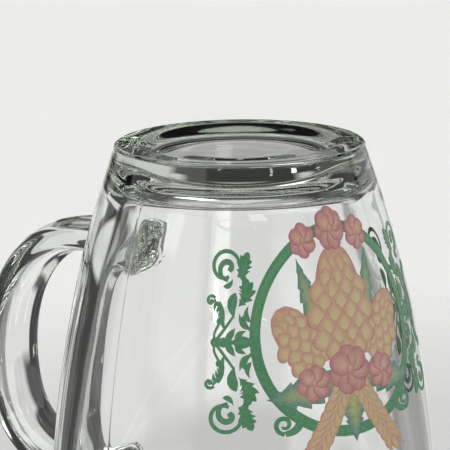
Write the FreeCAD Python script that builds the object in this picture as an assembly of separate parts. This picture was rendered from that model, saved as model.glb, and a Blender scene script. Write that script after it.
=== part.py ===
import FreeCAD, Part
import math
import os

# A pressed-glass beer mug with a fused C handle and a fired enamel print, in mm.
# The mug stands mouth up: +Z is its axis, z = 0 is the plane of the foot ring, the origin is the centre
# of that ring, and the handle points along +X. Angles are in degrees about Z, from +X.

# body
MUG_HEIGHT = 115.0
FOOT_RADIUS = 31.0
FOOT_EDGE = 1.2  # rounding of the foot ring's outer edge
RING_INNER_RADIUS = 25.0
RECESS_RADIUS = 20.8
RECESS_DEPTH = 1.8
FLOOR_Z = 9.0  # the inside floor, so the base is this thick
FLOOR_FLAT_RADIUS = 21.0
RIM_RADIUS = 49.8
LIP_THICKNESS = 4.2

# The outer wall swells from the foot and runs nearly upright to the rim: (height, radius).
OUTER_WALL = [(7, 33.4), (14.5, 35.9), (27, 39.5), (40, 42.6), (53, 45.1), (66, 47.1), (80, 48.6), (97, 49.6)]
# The wall thins towards the rim: (height, radius) of its inner face, from the rounded floor corner up.
INNER_WALL = [(17, 29.6), (30, 33.9), (45, 37.5), (60, 40.3), (75, 42.6), (92, 44.4)]

# drain notches across the foot ring
NOTCH_ANGLES = [138.0, 318.0]
NOTCH_DEPTH = 1.2
NOTCH_CUTTER_RADIUS = 5.0

# handle: (distance from the axis, height, thickness across the run, width around the mug)
HANDLE_STATIONS = [
    (36.0, 29.8, 14.0, 18.0),
    (45.0, 30.1, 10.6, 16.5),
    (54.0, 30.9, 9.2, 15.5),
    (63.5, 33.2, 9.4, 15.2),
    (74.0, 39.8, 10.0, 15.0),
    (81.6, 50.2, 10.4, 15.0),
    (85.3, 62.0, 10.6, 15.0),
    (85.5, 74.0, 10.9, 15.0),
    (81.8, 86.0, 11.4, 15.2),
    (72.5, 94.0, 12.2, 15.6),
    (61.0, 96.8, 13.0, 16.4),
    (52.0, 96.6, 15.8, 17.6),
    (44.0, 96.0, 19.4, 19.0),
]
# The handle's section as shares of half its width and half its thickness: a flat inner face, two bevels,
# flat flanks and a rounded back.
SECTION = [(0.0, -1.0), (0.52, -0.97), (0.9, -0.55), (1.0, 0.1), (0.72, 0.74), (0.0, 1.0)]

# fired enamel print, opposite the handle
PRINT_ANGLE = 193.0
PRINT_THICKNESS = 0.15
RING_Z = 39.5  # centre of the round frame
RING_HALF_WIDTH = 22.0  # straight across; the wall's curve makes the frame look round
RING_HALF_HEIGHT = 24.0
RING_WIDTH = 2.7
SCROLL_OFFSET = 37.0  # angle from the print's centre to each side scroll
SCROLL_RISE = 0.9  # how far the scrolls' middle is above the frame's
PRINT_REACH = 75.0  # no part of the print is further round than this


def point(x, y, z):
    return FreeCAD.Vector(x, y, z)


def line(a, b):
    return Part.makeLine(a, b)


def arc(a, b, c):
    return Part.Arc(a, b, c).toShape()


def spline(points):
    curve = Part.BSplineCurve()
    curve.interpolate(points)
    return curve.toShape()


def polar(radius, angle):
    return radius * math.cos(math.radians(angle)), radius * math.sin(math.radians(angle))


def revolved(edges, start=0, sweep=360):
    face = Part.Face(Part.Wire(edges))
    face.rotate(point(0, 0, 0), point(0, 0, 1), start)
    return face.revolve(point(0, 0, 0), point(0, 0, 1), sweep)


def outer_wall(offset=0.0):
    """The outer wall's profile in the XZ plane, from above the foot's rounding to below the lip."""
    lip_z = MUG_HEIGHT - LIP_THICKNESS / 2
    places = [(FOOT_EDGE, FOOT_RADIUS + 0.5)] + OUTER_WALL + [(lip_z, RIM_RADIUS)]
    return [point(radius + offset, 0, z) for z, radius in places]


def glass_body():
    wall = outer_wall()
    lip_radius = LIP_THICKNESS / 2
    lip_inner = point(RIM_RADIUS - LIP_THICKNESS, 0, MUG_HEIGHT - lip_radius)
    lip_top = point(RIM_RADIUS - lip_radius, 0, MUG_HEIGHT)
    foot_inner = point(FOOT_RADIUS + 0.5 - FOOT_EDGE, 0, 0)
    foot_middle = point(FOOT_RADIUS + 0.5 - 0.29 * FOOT_EDGE, 0, 0.29 * FOOT_EDGE)
    recess_edge = point(RECESS_RADIUS, 0, RECESS_DEPTH)
    recess_centre = point(0, 0, RECESS_DEPTH)
    floor_centre = point(0, 0, FLOOR_Z)
    floor_edge = point(FLOOR_FLAT_RADIUS, 0, FLOOR_Z)
    inner = [point(radius, 0, z) for z, radius in INNER_WALL]
    corner_middle = point(FLOOR_FLAT_RADIUS + 6.2, 0, FLOOR_Z + 2.6)
    ring_edge = point(RING_INNER_RADIUS, 0, 0)
    return revolved([
        arc(foot_inner, foot_middle, wall[0]),
        spline(wall),
        arc(wall[-1], lip_top, lip_inner),
        spline([lip_inner] + inner[::-1]),
        arc(inner[0], corner_middle, floor_edge),
        line(floor_edge, floor_centre),
        line(floor_centre, recess_centre),
        line(recess_centre, recess_edge),
        line(recess_edge, ring_edge),
        line(ring_edge, foot_inner),
    ])


def notched(body):
    for angle in NOTCH_ANGLES:
        x, y = polar(1, angle)
        start = point(22 * x, 22 * y, NOTCH_DEPTH - NOTCH_CUTTER_RADIUS)
        body = body.cut(Part.makeCylinder(NOTCH_CUTTER_RADIUS, 14, start, point(x, y, 0)))
    return body


def filled_body():
    """The body's outer form with no cavity, which trims the handle's roots."""
    wall = outer_wall()
    bottom = point(0, 0, wall[0].z)
    top = point(0, 0, wall[-1].z)
    return revolved([line(bottom, wall[0]), spline(wall), line(wall[-1], top), line(top, bottom)])


def run_direction(index):
    """The direction of the handle's centre line at a station, as (outwards, up)."""
    last = len(HANDLE_STATIONS) - 1
    before = HANDLE_STATIONS[max(index - 1, 0)]
    after = HANDLE_STATIONS[min(index + 1, last)]
    out = after[0] - before[0]
    up = after[1] - before[1]
    length = math.hypot(out, up)
    return out / length, up / length


def handle_section(index):
    distance, height, thickness, width = HANDLE_STATIONS[index]
    out, up = run_direction(index)
    right_half = SECTION
    left_half = [(-across, along) for across, along in SECTION[-2:0:-1]]
    places = []
    for across, back in right_half + left_half:
        shift = back * thickness / 2  # towards the handle's back, square to the run
        places.append(point(distance + shift * up, across * width / 2, height - shift * out))
    curve = Part.BSplineCurve()
    curve.interpolate(Points=places, PeriodicFlag=True)
    return Part.Wire([curve.toShape()])


def handle():
    sections = [handle_section(i) for i in range(len(HANDLE_STATIONS))]
    bar = Part.makeLoft(sections, True, False)
    pieces = bar.cut(filled_body()).Solids
    return max(pieces, key=lambda s: s.Volume)


def print_skin():
    """The thin layer on the outer wall that the enamel takes up, as far round as the print can reach."""
    inner = outer_wall()
    outer = outer_wall(PRINT_THICKNESS)
    edges = [spline(inner), line(inner[-1], outer[-1]), spline(outer), line(outer[0], inner[0])]
    return revolved(edges, PRINT_ANGLE - PRINT_REACH, 2 * PRINT_REACH)


# The print is drawn flat, in x across and y up from the centre of its round frame, then laid on the wall.


def flat(x, y):
    return point(x, y, 0)


def disc(x, y, radius):
    return Part.Face(Part.Wire([Part.makeCircle(radius, flat(x, y))]))


def bow(x, y, radius, start, end, width):
    """A curved band of even width with round ends."""
    inner = radius - width / 2
    outer = radius + width / 2
    middle = (start + end) / 2

    def at(r, angle):
        dx, dy = polar(r, angle)
        return flat(x + dx, y + dy)

    start_x, start_y = polar(radius, start)
    end_x, end_y = polar(radius, end)
    band = Part.Face(Part.Wire([
        arc(at(outer, start), at(outer, middle), at(outer, end)),
        line(at(outer, end), at(inner, end)),
        arc(at(inner, end), at(inner, middle), at(inner, start)),
        line(at(inner, start), at(outer, start)),
    ]))
    caps = [disc(x + start_x, y + start_y, width / 2), disc(x + end_x, y + end_y, width / 2)]
    return band.fuse(caps)


def leaf(x, y, length, width, angle):
    """A pointed leaf from its base point, along the given angle."""
    side = math.degrees(math.atan2(width / 2, length / 2))
    reach = math.hypot(width / 2, length / 2)
    base = flat(x, y)
    tip = flat(x + polar(length, angle)[0], y + polar(length, angle)[1])
    left = flat(x + polar(reach, angle + side)[0], y + polar(reach, angle + side)[1])
    right = flat(x + polar(reach, angle - side)[0], y + polar(reach, angle - side)[1])
    return Part.Face(Part.Wire([arc(base, left, tip), arc(tip, right, base)]))


def oval(x, y, length, width, angle):
    """An ellipse about its middle, with its long way along the given angle."""
    ellipse = Part.Ellipse(flat(0, 0), length / 2, width / 2)
    face = Part.Face(Part.Wire([ellipse.toShape()]))
    face.rotate(flat(0, 0), point(0, 0, 1), angle)
    face.translate(flat(x, y))
    return face


def joined(faces):
    return faces[0].fuse(faces[1:]).removeSplitter()


def mirrored(shape):
    """The drawing turned over about its upright centre line."""
    turned = shape.copy()
    turned.rotate(flat(0, 0), point(0, 1, 0), 180)
    return turned


def laid_on(drawing, skin, angle):
    """Turns the drawing to face outwards at the angle and keeps the skin that lies behind it."""
    solids = []
    for face in drawing.Faces:
        block = face.extrude(point(0, 0, RIM_RADIUS + 5))
        block.rotate(flat(0, 0), point(1, 0, 0), 90)
        block.rotate(flat(0, 0), point(0, 0, 1), angle + 90)
        block.translate(point(0, 0, RING_Z))
        solids += block.common(skin).Solids
    return solids[0].fuse(solids[1:]).removeSplitter()


def ring_drawing():
    outside = oval(0, 0, 2 * RING_HALF_HEIGHT + RING_WIDTH, 2 * RING_HALF_WIDTH + RING_WIDTH, 90)
    return outside.cut(oval(0, 0, 2 * RING_HALF_HEIGHT - RING_WIDTH, 2 * RING_HALF_WIDTH - RING_WIDTH, 90))


def both_sides(shapes):
    """The shapes and the same shapes on the other side of the centre line."""
    return shapes + [mirrored(shape) for shape in shapes]


def cone_drawing():
    """Three hanging hop cones under two crossed ears of barley."""
    middle_cone = oval(0, -6.5, 27, 15, 90)
    side_cone = oval(13, 0.9, 18, 10.4, -52)
    ear = oval(7.5, 21.5, 20, 5.6, 59)
    return joined([middle_cone] + both_sides([side_cone, ear]))


def leaf_drawing():
    """An upright leaf between the ears, and on each side one that spreads and one that hangs."""
    upright_leaf = leaf(0, 11, 16, 7, 90)
    spread_leaf = leaf(3, 10, 19, 9, 14)
    hanging_leaf = leaf(4, 4, 23, 6.6, -70)
    return joined([upright_leaf] + both_sides([spread_leaf, hanging_leaf]))


def flower_drawing():
    """A flower at the knot with one on each side of it, and a row of three at the foot's side."""
    middle_flowers = [disc(0, 9.5, 5.9), disc(0, -23.6, 5.1)]
    side_flowers = [disc(10, 11.5, 4.3), disc(9.4, -21.6, 4.1)]
    return joined(middle_flowers + both_sides(side_flowers))


def scroll_drawing():
    """One side's scrollwork: two volutes back to back, a stem for each, and a bead and leaf between."""
    scroll = joined([
        bow(-2.9, 16.4, 4.2, -150, 130, 1.4),
        bow(-2.0, 16.0, 1.4, 100, 400, 1.1),
        bow(-2.9, -16.4, 4.2, -130, 150, 1.4),
        bow(-2.0, -16.0, 1.4, -40, 260, 1.1),
        bow(6.6, 5.5, 8.0, 125, 205, 1.8),
        bow(6.6, -5.5, 8.0, 155, 235, 1.8),
    ]).fuse([disc(-5.2, 0, 1.2), leaf(-5.2, 0, 9.6, 2.8, 0)])
    scroll.translate(flat(0, SCROLL_RISE))
    return scroll


def print_nodes():
    """Each colour less what the colours over it take up."""
    skin = print_skin()
    flowers = flower_drawing()
    cones = cone_drawing().cut(flowers)
    leaves = leaf_drawing().cut([cones, flowers])
    frame_ring = ring_drawing().cut([cones, flowers, leaves])
    scroll = scroll_drawing()
    return {
        "print_ring": laid_on(frame_ring, skin, PRINT_ANGLE),
        "print_scroll_left": laid_on(scroll, skin, PRINT_ANGLE - SCROLL_OFFSET),
        "print_scroll_right": laid_on(mirrored(scroll), skin, PRINT_ANGLE + SCROLL_OFFSET),
        "print_emblem_cones": laid_on(cones, skin, PRINT_ANGLE),
        "print_emblem_leaves": laid_on(leaves, skin, PRINT_ANGLE),
        "print_emblem_ribbon": laid_on(flowers, skin, PRINT_ANGLE),
    }


def main():
    os.makedirs("parts", exist_ok=True)
    nodes = {"glass_body": notched(glass_body()), "handle": handle(), **print_nodes()}
    for name, shape in nodes.items():
        solids = shape.Solids
        kept = solids[0] if len(solids) == 1 else Part.Compound(solids)
        kept.exportStep(f"parts/{name}.step")
        box = kept.BoundBox
        print(
            f"{name}: {len(solids)} solid(s), valid {kept.isValid()}, {kept.Volume:.1f} mm3, "
            f"x {box.XMin:.1f}..{box.XMax:.1f}, y {box.YMin:.1f}..{box.YMax:.1f}, z {box.ZMin:.1f}..{box.ZMax:.1f}"
        )


main()
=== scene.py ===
import math

import bmesh
import bpy
import numpy as np
from mathutils import Matrix, Vector


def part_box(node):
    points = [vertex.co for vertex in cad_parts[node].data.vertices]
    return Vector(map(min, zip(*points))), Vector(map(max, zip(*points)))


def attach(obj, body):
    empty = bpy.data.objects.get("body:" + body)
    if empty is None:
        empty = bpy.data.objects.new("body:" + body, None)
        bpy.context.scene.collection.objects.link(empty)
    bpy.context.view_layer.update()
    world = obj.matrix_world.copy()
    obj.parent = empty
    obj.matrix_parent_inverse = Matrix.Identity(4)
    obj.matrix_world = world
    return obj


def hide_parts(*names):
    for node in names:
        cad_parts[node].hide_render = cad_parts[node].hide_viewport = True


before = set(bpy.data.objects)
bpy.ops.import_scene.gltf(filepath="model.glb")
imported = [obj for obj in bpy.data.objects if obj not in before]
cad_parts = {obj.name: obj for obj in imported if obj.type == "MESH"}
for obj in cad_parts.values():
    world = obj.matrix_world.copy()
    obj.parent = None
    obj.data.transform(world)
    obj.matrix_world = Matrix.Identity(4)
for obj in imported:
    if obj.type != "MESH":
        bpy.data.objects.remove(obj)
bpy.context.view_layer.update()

# A pressed-glass beer mug with a fused handle and a fired enamel print. Shapes are worked out in
# millimetres and written to the meshes in metres. The mug is upright in the frame; the camera is turned
# over, so that the picture shows the mug standing on its mouth.
MM = 0.001
body_low, body_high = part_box("glass_body")

# body, as in the CAD part
MUG_HEIGHT = body_high.z / MM
RIM_RADIUS = body_high.y / MM
FOOT_RADIUS = 31.0
FOOT_EDGE = 1.2
RING_INNER_RADIUS = 25.0
RECESS_RADIUS = 20.8
RECESS_DEPTH = 1.8
RECESS_DOME = 0.25  # how much higher the recess is in its middle than at its edge
FOOT_WIDENING = 0.3  # from the foot's radius to where its flat ring meets its outer edge
EDGE_WIDENING = 0.5  # from the foot's radius to the top of that edge
RECESS_ROUNDING = 1.6
RING_ROUNDING = 1.5
FOOT_ROUNDING = 1.15
LIP_RADIUS = 2.1
LIP_POINTS = 15
OUTER_WALL = [(33.4, 7), (35.9, 14.5), (39.5, 27), (42.6, 40), (45.1, 53), (47.1, 66), (48.6, 80), (49.6, 97)]
INNER_WALL = [(44.4, 92), (42.6, 75), (40.3, 60), (37.5, 45), (33.9, 30), (29.6, 17), (27.2, 11.6), (21, 9)]
FLOOR_CENTRE = [(11, 9.05), (0, 9.2)]
COLUMN_STEP = 1.5  # degrees between the columns of the body's mesh
ROW_STEP = 1.1  # mm between its rows, at most
SEAM_ANGLES = (92.0, 272.0)
SEAM_HEIGHT = 0.025
SEAM_WIDTH = 0.22
SEAM_START = 4  # mm above the foot
SEAM_END = 6  # mm below the rim
RIPPLE_START = 12  # mm above the foot
RIPPLE_HEIGHT = 0.028
NOTCH_ANGLES = (138.0, 318.0)
NOTCH_DEPTH = 1.2
NOTCH_RADIUS = 5.0

# handle: (distance from the axis, height, thickness, width) at each station, as in the CAD part
HANDLE_STATIONS = [
    (36.0, 29.8, 14.0, 18.0),
    (45.0, 30.1, 10.6, 16.5),
    (54.0, 30.9, 9.2, 15.5),
    (63.5, 33.2, 9.4, 15.2),
    (74.0, 39.8, 10.0, 15.0),
    (81.6, 50.2, 10.4, 15.0),
    (85.3, 62.0, 10.6, 15.0),
    (85.5, 74.0, 10.9, 15.0),
    (81.8, 86.0, 11.4, 15.2),
    (72.5, 94.0, 12.2, 15.6),
    (61.0, 96.8, 13.0, 16.4),
    (52.0, 96.6, 15.8, 17.6),
    (44.0, 96.0, 19.4, 19.0),
]
HANDLE_ROWS = 200
HANDLE_COLUMNS = 64
# The flats of the handle's section: (across, towards the back, distance) in half widths and thicknesses.
HANDLE_FLATS = [
    (0.0, -1.0, 1.0),
    (0.74, -0.67, 1.12),
    (-0.74, -0.67, 1.12),
    (1.0, 0.0, 1.0),
    (-1.0, 0.0, 1.0),
    (0.7, 0.71, 1.04),
    (-0.7, 0.71, 1.04),
    (0.36, 0.93, 1.0),
    (-0.36, 0.93, 1.0),
    (0.0, 1.0, 1.0),
]
FLAT_SHARPNESS = 14
ROOT_CLEARANCE = 4.2  # from the wall to where the handle's own section starts
ROOT_FILLET = 2.2
FILLET_ROWS = 9
ROOT_MARGIN = 0.9  # how far the wall is opened beyond the root's outline

# print
PRINT_ANGLE = 193.0
PRINT_RADIUS = 44.0  # the radius at which the drawing's widths are true
RING_Z = 39.5
RING_RADIUS = 24.0
RING_WIDTH = 2.7
SCROLL_SHIFT = math.radians(37) * PRINT_RADIUS
SCROLL_RISE = 0.9
ENAMEL_SINK = 0.02  # how far the enamel reaches into the glass
SHAPE_STEP = 0.0006  # how much higher each shape lies than the one drawn before it
GREEN_LIFT = 0.10  # the lifts are the heights of the layers' faces above the wall
LEAF_LIFT = 0.14
CONE_LIFT = 0.15
FLOWER_LIFT = 0.24
STRIP_COLUMNS = 8


def smooth_curve(points, count):
    """A natural cubic spline through the points, sampled evenly along its chords."""
    p = np.array(points, float)
    spans = np.linalg.norm(np.diff(p[:, :2], axis=0), axis=1)
    knots = np.concatenate([[0], np.cumsum(spans)])
    last = len(p) - 1
    system = np.eye(last + 1)
    right = np.zeros_like(p)
    for i in range(1, last):
        system[i, i - 1:i + 2] = spans[i - 1], 2 * (spans[i - 1] + spans[i]), spans[i]
        right[i] = 6 * ((p[i + 1] - p[i]) / spans[i] - (p[i] - p[i - 1]) / spans[i - 1])
    bends = np.linalg.solve(system, right)
    t = np.linspace(0, knots[-1], count)
    i = np.clip(np.searchsorted(knots, t, side="right") - 1, 0, last - 1)
    span = spans[i][:, None]
    a = ((knots[i + 1] - t) / spans[i])[:, None]
    b = 1 - a
    curve = a * p[i] + b * p[i + 1]
    return curve + ((a**3 - a) * bends[i] + (b**3 - b) * bends[i + 1]) * span**2 / 6


def spread(points, spacing):
    """The same outline with no step longer than the spacing."""
    out = [points[0]]
    for a, b in zip(points[:-1], points[1:]):
        steps = max(1, math.ceil(math.dist(a, b) / spacing))
        out += [tuple(np.add(a, np.subtract(b, a) * k / steps)) for k in range(1, steps + 1)]
    return out


def rounded(before, corner, after, cut, steps=6):
    """A corner's rounding, from cut mm before it to cut mm after it."""
    corner = np.array(corner, float)
    start = corner + cut * (np.array(before) - corner) / math.dist(before, corner)
    end = corner + cut * (np.array(after) - corner) / math.dist(after, corner)
    out = []
    for t in np.linspace(0, 1, steps):
        out.append(tuple((1 - t) ** 2 * start + 2 * t * (1 - t) * corner + t**2 * end))
    return out


FOOT_TOP = (FOOT_RADIUS + EDGE_WIDENING, FOOT_EDGE)
LIP_OUTER = (RIM_RADIUS, MUG_HEIGHT - LIP_RADIUS)
LIP_INNER = (RIM_RADIUS - 2 * LIP_RADIUS, MUG_HEIGHT - LIP_RADIUS)
outer_curve = smooth_curve([FOOT_TOP] + OUTER_WALL + [LIP_OUTER], 600)


def wall_radius(z):
    """The outer wall's radius at height z."""
    return np.interp(z, outer_curve[:, 1], outer_curve[:, 0])


def wall_point(y, z):
    """The point of the outer wall on the handle's side, at those coordinates."""
    return np.array([math.sqrt(wall_radius(z) ** 2 - y * y), y, z])


def glass_profile():
    """(radius, height) from the recess's centre round the outside and the inside to the floor's centre."""
    recess_centre = (0.0, RECESS_DEPTH + RECESS_DOME)
    recess_edge = (RECESS_RADIUS, RECESS_DEPTH)
    ring_inner = (RING_INNER_RADIUS, 0.0)
    foot = (FOOT_RADIUS + FOOT_WIDENING, 0.0)
    base = [recess_centre]
    base += rounded(recess_centre, recess_edge, ring_inner, RECESS_ROUNDING)
    base += rounded(recess_edge, ring_inner, foot, RING_ROUNDING)
    base += rounded(ring_inner, foot, FOOT_TOP, FOOT_ROUNDING, 8)
    wall = [tuple(p) for p in outer_curve[::5]]
    lip = []
    for angle in np.linspace(0, math.pi, LIP_POINTS)[1:-1]:
        radius = LIP_OUTER[0] + LIP_RADIUS * (math.cos(angle) - 1)
        lip.append((radius, LIP_OUTER[1] + LIP_RADIUS * math.sin(angle)))
    inside = [tuple(p) for p in smooth_curve([LIP_INNER] + INNER_WALL + FLOOR_CENTRE, 130)]
    return spread(base, ROW_STEP) + wall + lip + inside


def column_angles():
    """The mesh's columns: even steps, with closer ones across each mould seam."""
    seam = math.degrees(SEAM_WIDTH / PRINT_RADIUS)
    close = [centre + seam * k for centre in SEAM_ANGLES for k in (-2, -1, -0.5, 0, 0.5, 1, 2)]
    even = [a for a in np.arange(0, 360, COLUMN_STEP) if min(abs(a - c) for c in SEAM_ANGLES) > 2.5 * seam]
    return sorted(close + even)


def seam_rise(radius, z, angle):
    """The mould seams' ridges on the outer wall, which stop short of the foot and the lip."""
    if z < SEAM_START or z > MUG_HEIGHT - SEAM_END or radius < wall_radius(z) - 0.5:
        return 0.0
    across = math.radians(min(abs(angle - centre) for centre in SEAM_ANGLES)) * radius
    return SEAM_HEIGHT * math.exp(-((across / SEAM_WIDTH) ** 2))


def ripple(radius, z, angle):
    """The inner wall's faint waves, left by the plunger."""
    if z < RIPPLE_START or radius > wall_radius(z) - 2:
        return 0.0
    a = math.radians(angle)
    fade = min(1.0, (z - RIPPLE_START) / 15, (MUG_HEIGHT - z) / 10)
    waves = math.sin(7 * a + 0.03 * z) + 0.7 * math.sin(12 * a + 1.3) + 0.35 * math.sin(23 * a - 0.05 * z)
    return RIPPLE_HEIGHT * fade * waves


def notch_rise(radius, z, angle):
    """How far a point of the foot ring is lifted to form the drain notches."""
    if radius < RECESS_RADIUS + 1 or z > NOTCH_DEPTH:
        return 0.0
    rise = 0.0
    for centre in NOTCH_ANGLES:
        across = math.radians((angle - centre + 180) % 360 - 180) * radius
        if abs(across) < NOTCH_RADIUS:
            floor = NOTCH_DEPTH - NOTCH_RADIUS + math.sqrt(NOTCH_RADIUS**2 - across**2)
            rise = max(rise, floor - z)
    return rise


def body_point(radius, z, angle):
    """A point of the body's surface, with its seam, ripple or notch."""
    r = radius + seam_rise(radius, z, angle) + ripple(radius, z, angle)
    a = math.radians(angle)
    return Vector((r * math.cos(a), r * math.sin(a), z + notch_rise(radius, z, angle)))


def add_body(bm):
    """The body as one closed surface of rings, with a fan at the recess's centre and the floor's centre."""
    profile = glass_profile()
    angles = column_angles()
    rings = [[bm.verts.new(body_point(r, z, a)) for a in angles] for r, z in profile[1:-1]]
    for lower, upper in zip(rings[:-1], rings[1:]):
        for k in range(len(angles)):
            bm.faces.new((lower[k - 1], lower[k], upper[k], upper[k - 1]))
    for (_, z), ring, turn in ((profile[0], rings[0], 1), (profile[-1], rings[-1], -1)):
        centre = bm.verts.new((0, 0, z))
        for k in range(len(angles)):
            bm.faces.new((centre, ring[k], ring[k - 1])[::turn])


def section_shares():
    """The handle's section round its centre, as (across, towards the back) shares."""
    out = []
    for angle in np.linspace(0, 2 * math.pi, HANDLE_COLUMNS, endpoint=False):
        across, back = math.cos(angle), math.sin(angle)
        pulls = [max(0.0, (nx * across + ny * back) / reach) for nx, ny, reach in HANDLE_FLATS]
        size = sum(pull**FLAT_SHARPNESS for pull in pulls) ** (-1 / FLAT_SHARPNESS)
        out.append((across * size, back * size))
    return out


def handle_rings():
    """The handle's cross-sections between its roots, as lists of points."""
    run = smooth_curve(HANDLE_STATIONS, HANDLE_ROWS)
    steps = np.gradient(run[:, :2], axis=0)
    steps /= np.linalg.norm(steps, axis=1)[:, None]
    shares = section_shares()
    rings = []
    for (out, height, thickness, width), (along, up) in zip(run, steps):
        if out < wall_radius(height) + ROOT_CLEARANCE:
            continue
        ring = []
        for across, back in shares:
            shift = back * thickness / 2
            ring.append(np.array([out + shift * up, across * width / 2, height - shift * along]))
        rings.append(ring)
    return rings


def fillet_rings(ring):
    """Rings from the wall to the handle's end section, which leave the wall flat and curve into the bar."""
    middle = np.mean(ring, axis=0)
    rows = [[] for _ in range(FILLET_ROWS)]
    for end in ring:
        corner = wall_point(end[1], end[2])
        away = end[1:] - middle[1:]
        foot = wall_point(*(end[1:] + ROOT_FILLET * away / np.linalg.norm(away)))
        for row, t in zip(rows, np.linspace(0, 1, FILLET_ROWS, endpoint=False)):
            row.append((1 - t) ** 2 * foot + 2 * t * (1 - t) * corner + t**2 * end)
    return rows


def open_wall(bm, ring):
    """Takes out the wall's faces under a root and closes the gap up to the root's first ring.

    Returns the new faces' vertices."""
    places = np.array([[v.co.y, v.co.z] for v in ring])
    middle = places.mean(axis=0)
    reach = np.abs(places - middle).max(axis=0) + ROOT_MARGIN
    gone = []
    for face in bm.faces:
        c = face.calc_center_median()
        if c.x > 0 and math.hypot(c.x, c.y) > wall_radius(c.z) - 0.6:
            if ((c.y - middle[0]) / reach[0]) ** 2 + ((c.z - middle[1]) / reach[1]) ** 2 < 1:
                gone.append(face)
    bmesh.ops.delete(bm, geom=gone, context="FACES")
    gap = [e for e in bm.edges if e.is_boundary and e.verts[0].co.x > 0 and not set(e.verts) & set(ring)]
    pairs = [(ring[k - 1], ring[k]) for k in range(len(ring))]
    hoop = [bm.edges.get(pair) or bm.edges.new(pair) for pair in pairs]
    near = [e for e in gap if abs(e.verts[0].co.z - middle[1]) < reach[1] + 4]
    filled = bmesh.ops.triangle_fill(bm, edges=near + hoop, normal=(1, 0, 0), use_beauty=True)
    return {v for part in filled["geom"] if isinstance(part, bmesh.types.BMFace) for v in part.verts}


def bridge(bm, rings):
    """Faces from each ring to the next."""
    for lower, upper in zip(rings[:-1], rings[1:]):
        for k in range(len(lower)):
            bm.faces.new((lower[k - 1], lower[k], upper[k], upper[k - 1]))


def wall_normal(point):
    """The outer wall's own outward direction at a point on it."""
    slope = wall_radius(point.z + 0.5) - wall_radius(point.z - 0.5)
    flat = Vector((point.x, point.y, 0)).normalized()
    return (flat - Vector((0, 0, slope))).normalized()


def smooth_root_shading(mesh, near_roots):
    """Gives the wall round each root the normals of the true wall, because its triangles are uneven there."""
    normals = [v.normal.copy() for v in mesh.vertices]
    for index in near_roots:
        normals[index] = wall_normal(mesh.vertices[index].co / MM)
    mesh.normals_split_custom_set_from_vertices(normals)


def glass_mug():
    """Body and handle as one closed glass surface, because a fused root has no surface inside it."""
    bm = bmesh.new()
    add_body(bm)
    middle = handle_rings()
    start = fillet_rings(middle[0])
    end = fillet_rings(middle[-1])
    rings = [[bm.verts.new(p) for p in ring] for ring in start + middle + end[::-1]]
    around_roots = open_wall(bm, rings[0]) | open_wall(bm, rings[-1])
    bridge(bm, rings)
    bmesh.ops.recalc_face_normals(bm, faces=bm.faces)
    bm.verts.index_update()
    near_roots = {vert.index for vert in around_roots}
    bmesh.ops.scale(bm, vec=(MM, MM, MM), verts=bm.verts)
    mug = mesh_object("mug_glass", bm)
    smooth_root_shading(mug.data, near_roots)
    return mug


def mesh_object(name, bm):
    """A smooth-shaded object made from the bmesh, which is then freed."""
    mesh = bpy.data.meshes.new(name)
    bm.to_mesh(mesh)
    bm.free()
    mesh.polygons.foreach_set("use_smooth", [True] * len(mesh.polygons))
    made = bpy.data.objects.new(name, mesh)
    bpy.context.scene.collection.objects.link(made)
    return made


# The print. Every shape is a strip: a path in mm on the unrolled wall of the upright mug, x to the right and
# y up from the centre of the round frame, with a half width at each of its points.


def path(*points, count=24):
    """A smooth line through the points."""
    return smooth_curve(points, count)


def spiral(x, y, start_radius, end_radius, start_angle, turn, count=30):
    """A line round (x, y) whose radius changes evenly along it."""
    angles = np.radians(np.linspace(start_angle, start_angle + turn, count))
    radii = np.linspace(start_radius, end_radius, count)
    return np.stack([x + radii * np.cos(angles), y + radii * np.sin(angles)], axis=1)


def taper(count, start, middle, end):
    """Half widths that swell from the start to the middle and fall to the end."""
    t = np.linspace(0, 1, count)
    return start * (1 - t) ** 2 + 2 * middle * t * (1 - t) + end * t**2


def leaf_widths(count, width, lobes=0, depth=0.0):
    """A leaf's half widths, with evenly spaced, notched lobes along its edge if asked."""
    t = np.linspace(0, 1, count)
    body = np.sin(math.pi * t**0.75)
    notches = 1 - depth * np.mod(t * lobes, 1.0) if lobes else 1.0
    return np.maximum(width / 2 * body * notches, 0.06)


def line(points, start, middle, end):
    """A stroke, with its half widths at the start, the middle and the end."""
    return {"path": points, "half": taper(len(points), start, middle, end)}


def leaf(points, width, lobes=0, depth=0.0):
    """A pointed leaf or bract along the points."""
    return {"path": points, "half": leaf_widths(len(points), width, lobes, depth)}


def dot(x, y, radius):
    """A round spot."""
    t = np.linspace(-1, 1, 13)
    points = np.stack([np.full(len(t), x), y + radius * t], axis=1)
    return {"path": points, "half": np.maximum(radius * np.sqrt(np.maximum(0, 1 - t * t)), 0.05)}


def closed_ring(radius, width):
    """A ring round the drawing's centre, whose last row joins its first."""
    points = spiral(0, 0, radius, radius, 0, 360, 121)[:-1]
    return {"path": points, "half": np.full(len(points), width / 2), "wrap": True}


def mirrored(shapes):
    """The shapes and their mirror images in the upright centre line."""
    return shapes + [{**s, "path": s["path"] * [-1, 1]} for s in shapes]


def moved(shapes, x, y, side, upright=1):
    """The shapes shifted, after a mirror to the other side (side -1) or upside down (upright -1)."""
    return [{**s, "path": s["path"] * [side, upright] + [x, y]} for s in shapes]


def wall_place(x, y, lift):
    """The point over the wall, in metres, for a place in the drawing."""
    z = RING_Z + y
    angle = math.radians(PRINT_ANGLE) + x / PRINT_RADIUS
    radius = wall_radius(z) + lift
    return Vector((radius * math.cos(angle), radius * math.sin(angle), z)) * MM


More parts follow.
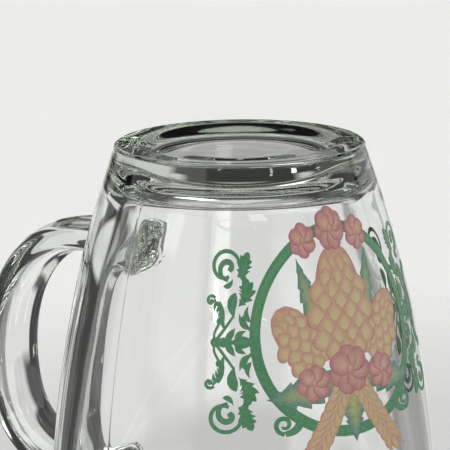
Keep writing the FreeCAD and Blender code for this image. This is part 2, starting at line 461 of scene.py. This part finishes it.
def strip_rows(shape):
    """The strip's points row by row, each with how far along it is and how near it is to the shape's rim."""
    points = shape["path"]
    if shape.get("wrap"):
        steps = np.roll(points, -1, axis=0) - np.roll(points, 1, axis=0)
    else:
        steps = np.gradient(points, axis=0)
    steps = steps / np.linalg.norm(steps, axis=1)[:, None]
    side = np.stack([-steps[:, 1], steps[:, 0]], axis=1)
    along = np.linspace(0, 1, len(points))
    widest = max(shape["half"])
    rows = []
    for point, across, half, t in zip(points, side, shape["half"], along):
        row = []
        for c in np.linspace(-1, 1, STRIP_COLUMNS + 1):
            x, y = point + across * half * c
            row.append((x, y, t, 1 - (1 - abs(c)) * half / widest))
        rows.append(row)
    return rows


def add_strip(bm, shape, lift, tone):
    """One closed thin solid on the glass. tone keeps how far along and how near the rim each point is."""
    rows = strip_rows(shape)
    layers = []
    for height in (lift, -ENAMEL_SINK):
        layer = []
        for row in rows:
            layer.append([bm.verts.new(wall_place(x, y, height)) for x, y, _, _ in row])
        layers.append(layer)
        for verts, row in zip(layer, rows):
            for vert, (_, _, t, rim) in zip(verts, row):
                vert[tone] = (t, rim, 0.0)
    top, under = layers
    count = len(rows)
    last = count if shape.get("wrap") else count - 1
    for i in range(last):
        j = (i + 1) % count
        for c in range(STRIP_COLUMNS):
            bm.faces.new((top[i][c], top[i][c + 1], top[j][c + 1], top[j][c]))
            bm.faces.new((under[i][c], under[j][c], under[j][c + 1], under[i][c + 1]))
        bm.faces.new((top[i][0], top[j][0], under[j][0], under[i][0]))
        bm.faces.new((top[i][-1], under[i][-1], under[j][-1], top[j][-1]))
    if not shape.get("wrap"):
        for i in (0, -1):
            for c in range(STRIP_COLUMNS):
                bm.faces.new((top[i][c], top[i][c + 1], under[i][c + 1], under[i][c]))


def enamel(name, shapes, lift):
    """A piece of the print. Later shapes lie a little higher, so that they cover the earlier ones."""
    bm = bmesh.new()
    tone = bm.verts.layers.float_vector.new("tone")
    for k, shape in enumerate(shapes):
        add_strip(bm, shape, lift + SHAPE_STEP * k, tone)
    bmesh.ops.recalc_face_normals(bm, faces=bm.faces)
    return mesh_object(name, bm)


def sprig(points, leaflets, size):
    """Pointed leaflets along one side of a stem, smaller towards its tip, and one more at the tip."""
    spine = path(*points, count=leaflets + 2)
    steps = np.gradient(spine, axis=0)
    out = [line(path(*points, count=16), 0.5, 0.75, 0.2)]
    for k in range(leaflets):
        along = steps[k] / np.linalg.norm(steps[k])
        across = np.array([-along[1], along[0]])
        reach = size * (1 - 0.4 * k / leaflets)
        root = spine[k] - along * 0.1 * reach
        bend = spine[k] + along * 0.1 * reach + across * 0.42 * reach
        tip = spine[k] + along * 0.62 * reach + across * 0.86 * reach
        out.append(leaf(path(root, bend, tip, count=11), 0.42 * reach))
    out.append(leaf(path(spine[-3], spine[-2], spine[-1] + steps[-1] * 0.5, count=13), 0.42 * size))
    return out


def scroll_half():
    """The upper half of one side's scrollwork. x runs away from the round frame, y up from its middle."""
    volute = spiral(3.0, 17.4, 4.2, 2.5, 215, -330, 44)
    eye = spiral(2.2, 16.9, 2.7, 0.7, -90, 320, 30)
    out = [
        leaf(path((-3.4, 20.6), (-2.0, 17.4), (-1.7, 13.6), count=61), 4.4, 5, 0.5),
        leaf(path((-2.0, 14.8), (-2.7, 11.6), (-0.4, 8.2), count=61), 4.8, 5, 0.5),
        line(volute, 0.35, 0.6, 0.4),
        line(eye, 0.3, 1.1, 0.3),
        dot(1.7, 16.9, 0.6),
        leaf(path((3.4, 12.9), (2.2, 13.0), (0.9, 14.6), count=15), 1.3),
        leaf(path((0.2, 11.4), (1.2, 8.6), (0.6, 5.6), count=17), 2.5),
        line(path((0.7, 6.2), (2.2, 4.2), (3.9, 2.0), (5.2, 0.4)), 0.25, 0.42, 0.35),
        line(path((5.8, 9.9), (4.4, 8.0), (4.3, 4.6), (5.6, 1.6), (5.4, 0.2)), 0.35, 0.32, 0.3),
        line(spiral(6.5, 9.6, 1.2, 0.45, 150, -330, 22), 0.34, 0.45, 0.24),
        dot(6.4, 9.5, 0.48),
        leaf(path((-3.4, 4.6), (-2.4, 6.2), (-3.0, 8.4), count=15), 1.3),
        leaf(path((-3.2, 3.0), (-1.6, 4.2), (-0.6, 6.6), count=15), 1.5),
        line(path((-3.9, 2.4), (-2.6, 3.6), (-1.9, 5.4)), 0.35, 0.4, 0.3),
        dot(-1.9, 5.6, 0.7),
        leaf(path((2.6, 0.2), (1.6, 1.7), (0.4, 3.3), count=15), 1.7),
        leaf(path((0.4, 0.6), (-0.8, 2.0), (-2.2, 2.6), count=15), 1.4),
    ]
    out += sprig([(4.7, 9.3), (3.6, 7.0), (3.4, 4.8)], 3, 2.2)
    out += sprig([(4.4, 5.6), (3.6, 4.6), (3.3, 3.4)], 2, 1.5)
    return out


def scrollwork(side):
    """One side's scrollwork: the half and its reflection, with a dot and two leaves along their join."""
    half = scroll_half()
    shapes = half + moved(half, 0, 0, 1, -1) + [dot(5.3, 0, 1.15)]
    shapes.append(leaf(path((5.2, 0), (3.0, 0), (0.2, 0), count=21), 2.3))
    shapes.append(leaf(path((1.2, 0), (-1.4, 0), (-4.8, 0), count=21), 2.9))
    return moved(shapes, side * SCROLL_SHIFT, SCROLL_RISE, side)


def frame_ring():
    """The round frame, with the curls that spring from it on the mouth's side."""
    curls = mirrored([
        line(path((13.5, 19.2), (15.2, 22.0), (17.6, 22.8)), 0.9, 1.1, 0.6),
        line(spiral(17.8, 20.6, 2.2, 0.6, 90, -420, 32), 0.5, 0.65, 0.25),
    ])
    return [closed_ring(RING_RADIUS, RING_WIDTH)] + curls


def oval(start, end, width, bow, sharpness):
    """A form from start to end, bowed to one side. More sharpness makes its ends more pointed."""
    start, end = np.array(start, float), np.array(end, float)
    across = np.array([start[1] - end[1], end[0] - start[0]]) * bow
    t = np.linspace(0, 1, 25)
    half = width / 2 * np.maximum(1 - np.abs(2 * t - 1) ** 2, 0) ** sharpness
    return {"path": path(start, (start + end) / 2 + across, end, count=25), "half": np.maximum(half, 0.05)}


def hop_cone(x, y, length, width, angle, rows=8):
    """A hop cone: its round body, then its bracts from the tip back, each row over the one before it."""
    direction = np.array([math.cos(math.radians(angle)), math.sin(math.radians(angle))])
    across = np.array([-direction[1], direction[0]])
    root = np.array([x, y])
    out = [oval(root, root + direction * length, width, 0.0, 0.45)]
    for r in range(rows, 0, -1):
        t = (r - 1) / rows
        girth = width / 2 * math.sin(math.pi * (0.25 + 0.68 * t))
        places = (-0.6, 0.0, 0.6) if r % 2 else (-0.86, -0.3, 0.3, 0.86)
        for place in places:
            start = root + direction * length * t * 0.82 + across * girth * place
            tip = start + direction * length * 0.21 + across * girth * place * 0.16
            bract = path(start, (start + tip) / 2 + across * girth * place * 0.08, tip, count=13)
            out.append(leaf(bract, width * 0.42 * math.sin(math.pi * (0.3 + 0.55 * t)) + 0.5))
    return out


def barley_ear(points, rows):
    """An ear of barley: grains in pairs up its stem and one at the tip, each with a short beard."""
    spine = path(*points, count=rows + 2)
    out = [line(path(*points, count=24), 0.5, 0.6, 0.3)]
    for k in range(rows, -1, -1):
        along = (spine[k + 1] - spine[k]) / np.linalg.norm(spine[k + 1] - spine[k])
        across = np.array([-along[1], along[0]])
        for side in (-1, 1):
            root = spine[k] + across * side * 0.3
            tip = root + along * 4.2 + across * side * 1.7
            beard = tip + along * 2.6 + across * side * 0.5
            out.append(line(path(tip, (tip + beard) / 2, beard, count=9), 0.4, 0.3, 0.1))
            out.append(oval(root, tip, 2.3, 0.1 * side, 0.6))
    out.append(oval(spine[-1] - along * 0.5, spine[-1] + along * 3.6, 2.2, 0.0, 0.6))
    return out


def flower(x, y, radius, petals, turn):
    """An open flower: round petals and a small eye."""
    out = []
    for k in range(petals):
        angle = math.radians(turn + 360 * k / petals)
        tip = (x + radius * math.cos(angle), y + radius * math.sin(angle))
        out.append(oval((x, y), tip, radius * 0.95, 0.06, 0.42))
    return out + [dot(x, y, radius * 0.2)]


def emblem_cones():
    """Three hanging hop cones under two crossed ears of barley."""
    ears = mirrored(barley_ear([(1.6, 12.0), (6.0, 20.0), (11.2, 28.6)], 7))
    side_cones = mirrored(hop_cone(7.4, 8.0, 18.0, 10.4, -52, 6))
    return ears + side_cones + hop_cone(0.0, 7.0, 27.0, 15.0, -90)


def emblem_leaves():
    """An upright leaf between the ears, and on each side one that spreads and one that hangs."""
    upright_leaf = leaf(path((0.0, 11.0), (0.0, 19.0), (0.0, 27.0), count=61), 7.0, 6, 0.3)
    spread_leaf = leaf(path((3.0, 10.0), (12.6, 13.4), (21.6, 14.6), count=61), 9.0, 6, 0.3)
    hanging_leaf = leaf(path((4.0, 4.0), (8.6, -6.4), (11.9, -17.6), count=61), 6.6, 7, 0.3)
    return mirrored([spread_leaf, hanging_leaf]) + [upright_leaf]


def emblem_flowers():
    """A flower where the stems meet with one on each side of it, and a row of three nearer the foot."""
    side_flowers = mirrored(flower(10.0, 11.5, 4.3, 6, 10) + flower(9.4, -21.6, 4.1, 6, 25))
    return side_flowers + flower(0.0, 9.5, 5.9, 7, 12) + flower(0.0, -23.6, 5.1, 7, 0)


# Materials

GLASS_INDEX = 1.52
GLASS_TINT = (0.72, 0.765, 0.70)
GLASS_DENSITY = 26.0  # how fast the tint deepens, per metre of glass
GLASS_BOUNCES = 28


def material(name):
    """A new material with its nodes and links."""
    mat = bpy.data.materials.new(name)
    mat.use_nodes = True
    return mat, mat.node_tree.nodes, mat.node_tree.links


def noise(nodes, links, scale, detail):
    """A noise texture fixed to the object."""
    texture = nodes.new("ShaderNodeTexNoise")
    texture.inputs["Scale"].default_value = scale
    texture.inputs["Detail"].default_value = detail
    place = nodes.new("ShaderNodeTexCoord")
    links.new(place.outputs["Object"], texture.inputs["Vector"])
    return texture.outputs["Fac"]


def ranged(nodes, links, value, low, high, to_low=0.0, to_high=1.0):
    """The value, stretched from low..high to to_low..to_high."""
    stretch = nodes.new("ShaderNodeMapRange")
    for name, number in (("From Min", low), ("From Max", high), ("To Min", to_low), ("To Max", to_high)):
        stretch.inputs[name].default_value = number
    links.new(value, stretch.inputs["Value"])
    return stretch.outputs["Result"]


def maths(nodes, links, operation, *values):
    """The result of one operation on the values, each either a number or a socket."""
    node = nodes.new("ShaderNodeMath")
    node.operation = operation
    for socket, value in zip(node.inputs, values):
        if isinstance(value, (int, float)):
            socket.default_value = value
        else:
            links.new(value, socket)
    return node.outputs["Value"]


def mixed(nodes, links, factor, first, second):
    """A mix of two colours, each either a colour or a socket."""
    mix = nodes.new("ShaderNodeMix")
    mix.data_type = "RGBA"
    links.new(factor, mix.inputs["Factor"])
    colour_inputs = [i for i in mix.inputs if i.type == "RGBA"]
    for socket, colour in zip(colour_inputs, (first, second)):
        if isinstance(colour, tuple):
            socket.default_value = (*colour, 1)
        else:
            links.new(colour, socket)
    return next(o for o in mix.outputs if o.type == "RGBA")


def glass_material():
    """Clear glass, faintly grey-green through its thickness, with the soft unevenness of pressed glass."""
    mat, nodes, links = material("clear_pressed_glass")
    shader = nodes["Principled BSDF"]
    shader.inputs["Base Color"].default_value = (1, 1, 1, 1)
    shader.inputs["Roughness"].default_value = 0.0
    shader.inputs["IOR"].default_value = GLASS_INDEX
    shader.inputs["Transmission Weight"].default_value = 1.0
    bump = nodes.new("ShaderNodeBump")
    bump.inputs["Strength"].default_value = 0.05
    bump.inputs["Distance"].default_value = 0.001
    links.new(noise(nodes, links, 45.0, 1.0), bump.inputs["Height"])
    links.new(bump.outputs["Normal"], shader.inputs["Normal"])
    depth = nodes.new("ShaderNodeVolumeAbsorption")
    depth.inputs["Color"].default_value = (*GLASS_TINT, 1)
    depth.inputs["Density"].default_value = GLASS_DENSITY
    links.new(depth.outputs["Volume"], nodes["Material Output"].inputs["Volume"])
    return mat


def enamel_material(name, middle, edge, tip):
    """Fired screen-printed enamel: satin and speckled, with its own colour at each shape's edge and tip."""
    mat, nodes, links = material(name)
    shader = nodes["Principled BSDF"]
    tone = nodes.new("ShaderNodeAttribute")
    tone.attribute_name = "tone"
    parts = nodes.new("ShaderNodeSeparateXYZ")
    links.new(tone.outputs["Vector"], parts.inputs["Vector"])
    to_tip = mixed(nodes, links, ranged(nodes, links, parts.outputs["X"], 0.3, 1.0), middle, tip)
    shaded = mixed(nodes, links, ranged(nodes, links, parts.outputs["Y"], 0.25, 0.95), to_tip, edge)
    speckle = ranged(nodes, links, noise(nodes, links, 1500.0, 2.0), 0.35, 0.65, 0.0, 0.12)
    pale = tuple(0.5 + 0.5 * c for c in middle)
    links.new(mixed(nodes, links, speckle, shaded, pale), shader.inputs["Base Color"])
    rough = ranged(nodes, links, noise(nodes, links, 260.0, 2.0), 0.3, 0.7, 0.24, 0.42)
    links.new(rough, shader.inputs["Roughness"])
    bump = nodes.new("ShaderNodeBump")
    bump.inputs["Strength"].default_value = 0.15
    bump.inputs["Distance"].default_value = 0.0001
    links.new(noise(nodes, links, 900.0, 2.0), bump.inputs["Height"])
    links.new(bump.outputs["Normal"], shader.inputs["Normal"])
    return mat


# The mug's soft shade on the tables, in metres: its middle, at the rim's height, and how far it reaches.
SHADE_CENTRE = (0.03, 0.05)
SHADE_REACH = 0.26
TABLE_PALE = (0.80, 0.80, 0.795)
TABLE_PALER = (0.82, 0.82, 0.815)
TABLE_SHADE = (0.55, 0.55, 0.545)
TABLE_GLOW = 0.27


def table_material():
    """A matt pale surface with a soft shade near the mug. It is clear from behind, so it hides nothing."""
    mat, nodes, links = material("pale_table")
    shader = nodes["Principled BSDF"]
    grain = ranged(nodes, links, noise(nodes, links, 30.0, 3.0), 0.3, 0.7)
    colour = mixed(nodes, links, grain, TABLE_PALE, TABLE_PALER)
    near = nodes.new("ShaderNodeTexGradient")
    near.gradient_type = "SPHERICAL"
    spot = nodes.new("ShaderNodeMapping")
    spot.vector_type = "TEXTURE"
    spot.inputs["Location"].default_value = (*SHADE_CENTRE, MUG_HEIGHT * MM)
    spot.inputs["Scale"].default_value = (SHADE_REACH, SHADE_REACH, SHADE_REACH)
    place = nodes.new("ShaderNodeTexCoord")
    links.new(place.outputs["Object"], spot.inputs["Vector"])
    links.new(spot.outputs["Vector"], near.inputs["Vector"])
    shaded = ranged(nodes, links, near.outputs["Fac"], 0.0, 0.6)
    links.new(mixed(nodes, links, shaded, colour, TABLE_SHADE), shader.inputs["Base Color"])
    shader.inputs["Roughness"].default_value = 0.8
    shader.inputs["Specular IOR Level"].default_value = 0.1
    shader.inputs["Emission Color"].default_value = (1.0, 1.0, 0.99, 1)
    shader.inputs["Emission Strength"].default_value = TABLE_GLOW
    side = nodes.new("ShaderNodeNewGeometry")
    clear = nodes.new("ShaderNodeBsdfTransparent")
    pick = nodes.new("ShaderNodeMixShader")
    links.new(side.outputs["Backfacing"], pick.inputs["Fac"])
    links.new(shader.outputs["BSDF"], pick.inputs[1])
    links.new(clear.outputs["BSDF"], pick.inputs[2])
    links.new(pick.outputs["Shader"], nodes["Material Output"].inputs["Surface"])
    return mat


# Stage, light and camera. The photograph's view looks at the mug turned over, so its table is the plane of
# the rim, seen from below. The other table is the plane that the foot stands on. Each shows from one side.

VIEW_AZIMUTH = math.radians(-42.0)
VIEW_ELEVATION = math.radians(-12.65)
VIEW_ROLL = math.radians(-0.8)
VIEW_DISTANCE = 0.616  # metres
LENS = 196.0
SENSOR = 36.0
PICTURE_CENTRE_X = -3.9 * MM  # the picture's middle is this far to the left of the mug's axis
PICTURE_CENTRE_Z = 21.5 * MM
TABLE_GAP = 0.05  # mm between each table and the glass
TABLE_REACH = 6.0  # metres
# The near and far ends of the table under the rim: (distance beyond the mug's axis, half width), in metres.
RIM_TABLE = ((-0.35, 0.12), (2.4, 0.42))

to_camera = Vector((
    math.sin(VIEW_AZIMUTH) * math.cos(VIEW_ELEVATION),
    -math.cos(VIEW_AZIMUTH) * math.cos(VIEW_ELEVATION),
    math.sin(VIEW_ELEVATION),
))
picture_right = Vector((-math.cos(VIEW_AZIMUTH), -math.sin(VIEW_AZIMUTH), 0))
away = -Vector((to_camera.x, to_camera.y, 0)).normalized()


def flat_sheet(name, corners, z, facing):
    """A stage sheet at height z that faces up (1) or down (-1). Only the camera sees it."""
    bm = bmesh.new()
    verts = [bm.verts.new((x, y, z)) for x, y in corners]
    face = bm.faces.new(verts)
    face.normal_update()
    if face.normal.z * facing < 0:
        face.normal_flip()
    bmesh.ops.subdivide_edges(bm, edges=bm.edges, cuts=12, use_grid_fill=True)
    sheet = mesh_object(name, bm)
    sheet.data.materials.append(table_material())
    sheet.visible_shadow = False
    sheet.visible_diffuse = False
    sheet.visible_transmission = False
    sheet.visible_glossy = False


def build_stage():
    """The sheet under the rim, which widens away from the camera, and the table under the foot."""
    rim_corners = []
    for (distance, half_width), sides in zip(RIM_TABLE, ((-1, 1), (1, -1))):
        for side in sides:
            place = away * distance + picture_right * half_width * side
            rim_corners.append((place.x, place.y))
    flat_sheet("table_under_rim", rim_corners, (MUG_HEIGHT + TABLE_GAP) * MM, -1)
    foot_corners = [(x * TABLE_REACH, y * TABLE_REACH) for x, y in ((-1, -1), (1, -1), (1, 1), (-1, 1))]
    flat_sheet("table_under_foot", foot_corners, -TABLE_GAP * MM, 1)


def sky_band(nodes, links, value, low, high, soft):
    """1 where the value is between low and high, with soft edges."""
    rise = ranged(nodes, links, value, low - soft, low + soft)
    fall = ranged(nodes, links, value, high - soft, high + soft, 1.0, 0.0)
    return maths(nodes, links, "MULTIPLY", rise, fall)


# The studio as the glass sees it: a dim room, brighter overhead and underfoot, with pale backdrops and soft
# boxes. Each panel is (bearing, half width, lowest elevation, highest elevation, brightness), in degrees.
# Where backdrops overlap, the brightest one shows. The light of the soft boxes is added to that, and each of
# them shows both above and below the horizon.
PALE = 0.845
ROOM = 0.06
CEILING = 1.1
CEILING_START = (44.0, 54.0)  # the degrees above or below the horizon over which the light comes up
BEHIND_MUG = 48.0  # the bearing straight behind the mug in the picture
# Underfoot the light is cut to this share within the first angle of that bearing, and whole past the second.
BEHIND_SHARE = 0.12
BEHIND_REACH = (50.0, 85.0)
PANEL_EDGE = 1.2
BACKDROPS = [
    (48.0, 17.0, -1.0, 16.4, PALE),
    (48.0, 17.0, 14.0, 27.0, 0.68),
    (27.0, 4.0, 5.0, 16.0, PALE),
    (15.0, 13.0, -8.0, 0.5, PALE),
    (81.0, 13.0, -8.0, 0.5, PALE),
    (48.0, 24.0, -30.0, -15.2, 0.55),
    (48.0, 50.0, -90.0, -62.0, 0.75),
    (91.0, 24.0, -2.0, 26.0, 0.36),
    (255.0, 30.0, -9.0, -2.0, 0.22),
    (31.0, 0.8, -12.2, -9.9, 3.0),
    (39.0, 0.35, -11.9, -11.5, 3.0),
    (90.0, 17.0, -14.0, 6.0, PALE),
    (135.0, 19.0, -42.0, 6.0, PALE),
    (180.0, 17.0, -14.0, 6.0, PALE),
    (315.0, 19.0, -30.0, 6.0, PALE),
]
SOFT_BOXES = [
    (246.0, 1.3, 12.0, 14.2, 30.0),
    (276.0, 15.0, 2.0, 40.0, 1.1),
    (210.0, 7.0, 30.0, 55.0, 3.6),
    (150.0, 9.0, 34.0, 60.0, 2.8),
    (20.0, 10.0, 44.0, 62.0, 2.2),
]


def build_world():
    """The studio for the glass and the light. The camera itself sees an even pale backdrop."""
    world = bpy.data.worlds.new("studio")
    bpy.context.scene.world = world
    world.use_nodes = True
    nodes, links = world.node_tree.nodes, world.node_tree.links
    way = nodes.new("ShaderNodeTexCoord")
    parts = nodes.new("ShaderNodeSeparateXYZ")
    links.new(way.outputs["Generated"], parts.inputs["Vector"])
    degrees = 180 / math.pi
    elevation = maths(nodes, links, "MULTIPLY", maths(nodes, links, "ARCSINE", parts.outputs["Z"]), degrees)
    steepness = maths(nodes, links, "ABSOLUTE", elevation)
    bearing = maths(nodes, links, "ARCTAN2", parts.outputs["Y"], parts.outputs["X"])
    bearing = maths(nodes, links, "MULTIPLY", bearing, degrees)

    def turned(centre):
        """How far the direction is from a bearing, in degrees, whichever way round."""
        gap = maths(nodes, links, "SUBTRACT", bearing, centre)
        return maths(nodes, links, "ABSOLUTE", maths(nodes, links, "WRAP", gap, 180.0, -180.0))

    def panel(height, centre, half_width, lowest, highest, brightness):
        """A soft-edged panel's light. height is the elevation, or the steepness to show it on both sides."""
        edge = min(4.0, 0.4 * half_width)
        wide = ranged(nodes, links, turned(centre), half_width, half_width + edge, brightness, 0.0)
        tall = sky_band(nodes, links, height, lowest, highest, PANEL_EDGE)
        return maths(nodes, links, "MULTIPLY", wide, tall)

    dome = ranged(nodes, links, steepness, *CEILING_START, 0.0, CEILING - ROOM)
    behind = ranged(nodes, links, turned(BEHIND_MUG), *BEHIND_REACH, BEHIND_SHARE, 1.0)
    above = ranged(nodes, links, elevation, -1.0, 1.0)
    total = maths(nodes, links, "MULTIPLY", dome, maths(nodes, links, "MAXIMUM", behind, above))
    total = maths(nodes, links, "ADD", total, ROOM)
    for backdrop in BACKDROPS:
        total = maths(nodes, links, "MAXIMUM", total, panel(elevation, *backdrop))
    for box in SOFT_BOXES:
        total = maths(nodes, links, "ADD", total, panel(steepness, *box))
    seen = nodes.new("ShaderNodeLightPath")
    shade = nodes.new("ShaderNodeMix")
    factor, studio_value, camera_value = shade.inputs[0], shade.inputs[2], shade.inputs[3]
    links.new(seen.outputs["Is Camera Ray"], factor)
    links.new(total, studio_value)
    camera_value.default_value = PALE
    background = nodes["Background"]
    background.inputs["Color"].default_value = (1.0, 1.0, 0.995, 1)
    links.new(shade.outputs[0], background.inputs["Strength"])


def build_camera():
    """The photograph's view: from a little below the foot, turned over, with the rim outside the picture."""
    camera = bpy.data.objects.new("camera", bpy.data.cameras.new("camera"))
    camera.data.lens = LENS
    camera.data.sensor_width = SENSOR
    camera.data.clip_start = 0.05
    picture_up = to_camera.cross(picture_right)
    aim = Vector((0, 0, PICTURE_CENTRE_Z)) + picture_right * PICTURE_CENTRE_X
    right = picture_right * math.cos(VIEW_ROLL) + picture_up * math.sin(VIEW_ROLL)
    up = picture_up * math.cos(VIEW_ROLL) - picture_right * math.sin(VIEW_ROLL)
    camera.matrix_world = Matrix((
        (right.x, up.x, to_camera.x, 0),
        (right.y, up.y, to_camera.y, 0),
        (right.z, up.z, to_camera.z, 0),
        (0, 0, 0, 1),
    ))
    camera.location = aim + to_camera * VIEW_DISTANCE
    bpy.context.scene.collection.objects.link(camera)
    bpy.context.scene.camera = camera


def place_piece(piece, mat, slot, *nodes):
    """Gives the piece its material and body, and hides the CAD nodes that it replaces. The slot is not used.
    """
    piece.data.materials.append(mat)
    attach(piece, "root")
    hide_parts(*nodes)


def build_mug():
    """One glass piece in place of the CAD's body and handle."""
    place_piece(glass_mug(), glass_material(), "clear_glass", "glass_body", "handle")


def build_print():
    """One piece of enamel for each CAD node of the print. The flowers' node is the one named ribbon."""
    green = enamel_material("green_enamel", (0.085, 0.29, 0.13), (0.075, 0.26, 0.12), (0.11, 0.33, 0.14))
    teal = enamel_material("teal_enamel", (0.46, 0.47, 0.18), (0.11, 0.27, 0.22), (0.36, 0.43, 0.20))
    ochre = enamel_material("ochre_enamel", (0.64, 0.54, 0.27), (0.58, 0.29, 0.22), (0.66, 0.46, 0.26))
    rose = enamel_material("rose_enamel", (0.66, 0.43, 0.30), (0.50, 0.18, 0.19), (0.54, 0.24, 0.25))
    ring = enamel("enamel_frame", frame_ring(), GREEN_LIFT)
    left = enamel("enamel_scroll_left", scrollwork(-1), GREEN_LIFT)
    right = enamel("enamel_scroll_right", scrollwork(1), GREEN_LIFT)
    leaves = enamel("enamel_leaves", emblem_leaves(), LEAF_LIFT)
    cones = enamel("enamel_cones", emblem_cones(), CONE_LIFT)
    flowers = enamel("enamel_ribbon", emblem_flowers(), FLOWER_LIFT)
    place_piece(ring, green, "enamel_green", "print_ring")
    place_piece(left, green, "enamel_green", "print_scroll_left")
    place_piece(right, green, "enamel_green", "print_scroll_right")
    place_piece(leaves, teal, "enamel_teal", "print_emblem_leaves")
    place_piece(cones, ochre, "enamel_ochre", "print_emblem_cones")
    place_piece(flowers, rose, "enamel_rose", "print_emblem_ribbon")


def set_light_paths():
    """Thick glass needs more bends than the usual limit, and the greys are shown as they are set."""
    cycles = bpy.context.scene.cycles
    cycles.max_bounces = GLASS_BOUNCES
    cycles.transmission_bounces = GLASS_BOUNCES
    cycles.glossy_bounces = 12
    cycles.transparent_max_bounces = 24
    bpy.context.scene.view_settings.view_transform = "Standard"


build_camera()
build_mug()
build_print()
build_stage()
build_world()
set_light_paths()
